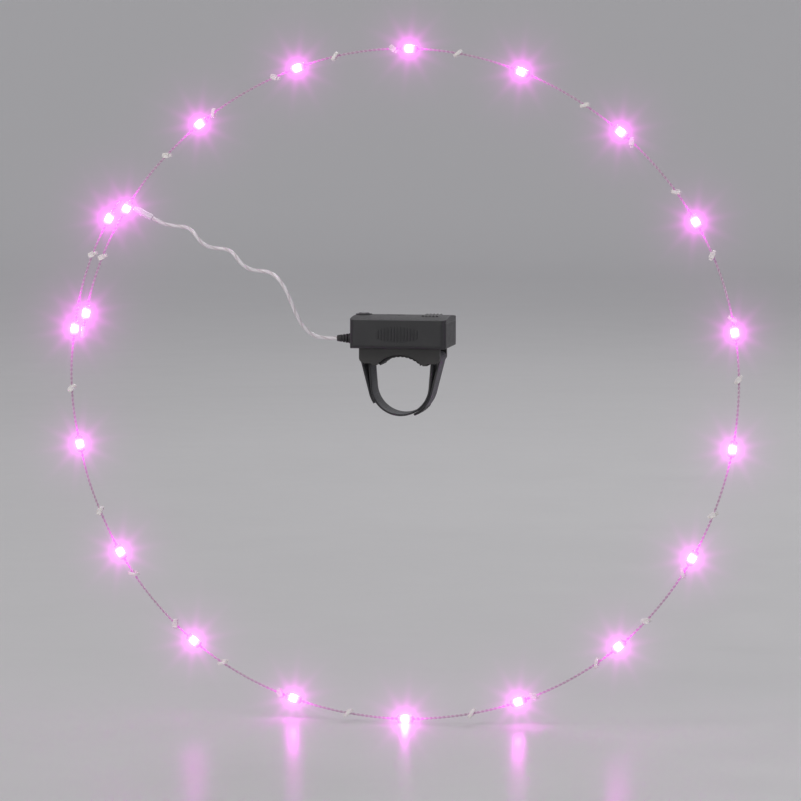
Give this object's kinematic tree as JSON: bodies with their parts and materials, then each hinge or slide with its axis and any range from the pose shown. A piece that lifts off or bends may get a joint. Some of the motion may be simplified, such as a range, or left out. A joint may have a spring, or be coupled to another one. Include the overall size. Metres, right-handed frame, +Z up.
{
  "type": "spoke wheel light",
  "caption": "String of lit capsules tied in a ring to wheel spokes, fed by a wound lead from a battery pack with button and sliding cover that straps to the hub.",
  "frame": {"origin": "middle of the hub that the strap goes round, on the axle's line", "axes": "+Y along the axle, away from the side that the picture shows; +Z up from the hub to the battery pack; +X towards the rear of the bicycle"},
  "size_m": [0.5063, 0.0502, 0.5021],
  "materials": {
    "pack_plastic": "black moulded plastic with a fine spark-eroded grain",
    "cover_plastic": "black moulded plastic, polished a little by thumbs",
    "saddle_plastic": "black glass-filled plastic",
    "pad_rubber": "soft dark grey rubber",
    "strap_webbing": "black woven webbing with hook and loop ends",
    "contact_nickel": "nickel plate",
    "board_green": "green solder mask",
    "screw_steel": "zinc plate",
    "chip_black": "black moulded epoxy",
    "resistor_ceramic": "black glaze between tinned ends",
    "switch_plastic": "grey moulded plastic",
    "plunger_plastic": "black moulded plastic",
    "button_rubber": "grey silicone rubber",
    "gland_rubber": "black rubber",
    "core_insulation": "red insulation",
    "lead_jacket": "milky clear vinyl",
    "wire_jacket": "clear vinyl over two fine conductors",
    "splice_shrink": "clear shrink sleeve",
    "capsule_clear": "clear resin, lit magenta",
    "light_chip": "lit chip",
    "tie_nylon": "natural nylon",
    "seal_clear": "clear shrink cap",
    "cell_jacket": "printed sleeve in two plain colours"
  },
  "bodies": {
    "light": {"battery_box": "pack_plastic", "hub_saddle": "saddle_plastic", "saddle_screws": "screw_steel", "saddle_pad": "pad_rubber", "hub_strap": "strap_webbing", "contact_springs": "contact_nickel", "contact_plates": "contact_nickel", "circuit_board": "board_green", "board_screws": "screw_steel", "driver_chip": "chip_black", "chip_resistors": "resistor_ceramic", "tact_switch": "switch_plastic", "cable_gland": "gland_rubber", "core_wires": "core_insulation", "return_wire": "core_insulation", "lead_cable": "lead_jacket", "splice_sleeve": "splice_shrink", "string_wire": "wire_jacket", "led_chips": "light_chip", "spoke_ties": "tie_nylon", "end_seal": "seal_clear", "cell_1": "cell_jacket", "cell_2": "cell_jacket", "cell_3": "cell_jacket", "led_capsule_01": "capsule_clear", "led_capsule_02": "capsule_clear", "led_capsule_03": "capsule_clear", "led_capsule_04": "capsule_clear", "led_capsule_05": "capsule_clear", "led_capsule_06": "capsule_clear", "led_capsule_07": "capsule_clear", "led_capsule_08": "capsule_clear", "led_capsule_09": "capsule_clear", "led_capsule_10": "capsule_clear", "led_capsule_11": "capsule_clear", "led_capsule_12": "capsule_clear", "led_capsule_13": "capsule_clear", "led_capsule_14": "capsule_clear", "led_capsule_15": "capsule_clear", "led_capsule_16": "capsule_clear", "led_capsule_17": "capsule_clear", "led_capsule_18": "capsule_clear", "led_capsule_19": "capsule_clear", "led_capsule_20": "capsule_clear"},
    "button": {"button_cap": "button_rubber", "tact_plunger": "plunger_plastic"},
    "cover": {"battery_cover": "cover_plastic"}
  },
  "joints": [
    {"name": "button_press", "type": "slide", "parent": "light", "child": "button", "axis": [0, 0, -1], "range_m": [0, 0.0006], "stiffness_N_per_m": 500, "springref_m": -0.002},
    {"name": "cover_slide", "type": "slide", "parent": "light", "child": "cover", "axis": [1, 0, 0], "range_m": [0, 0.055]}
  ]
}
